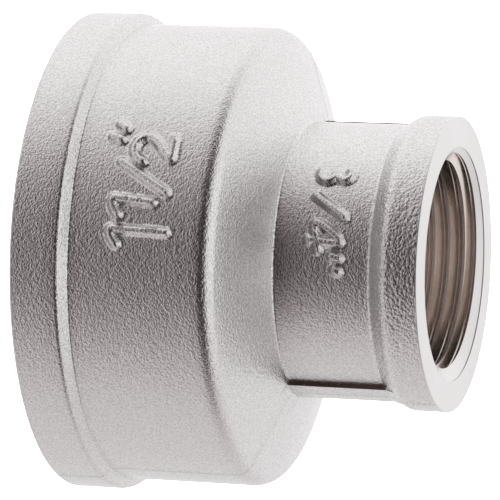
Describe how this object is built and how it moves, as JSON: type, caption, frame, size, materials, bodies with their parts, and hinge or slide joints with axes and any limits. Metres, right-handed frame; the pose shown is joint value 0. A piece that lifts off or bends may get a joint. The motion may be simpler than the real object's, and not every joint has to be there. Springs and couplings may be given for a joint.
{
  "type": "reducing coupling",
  "caption": "Forged pipe coupling that joins a large pipe to a smaller one: an internally threaded socket at each end, with a conical shoulder between them.",
  "frame": {"origin": "centre of the large end's face, on the axis of both threads, which is the middle of the part's underside", "axes": "+Z along the bores, from the large end up to the small end. X lies in the plane where the forging dies parted, so the trimmed flash runs along the +X and -X sides; -Y is the side with the raised size figures"},
  "size_m": [0.0566, 0.0566, 0.0444],
  "materials": {
    "plated_brass": "satin"
  },
  "bodies": {
    "root": {"coupling_body": "plated_brass"}
  },
  "joints": []
}
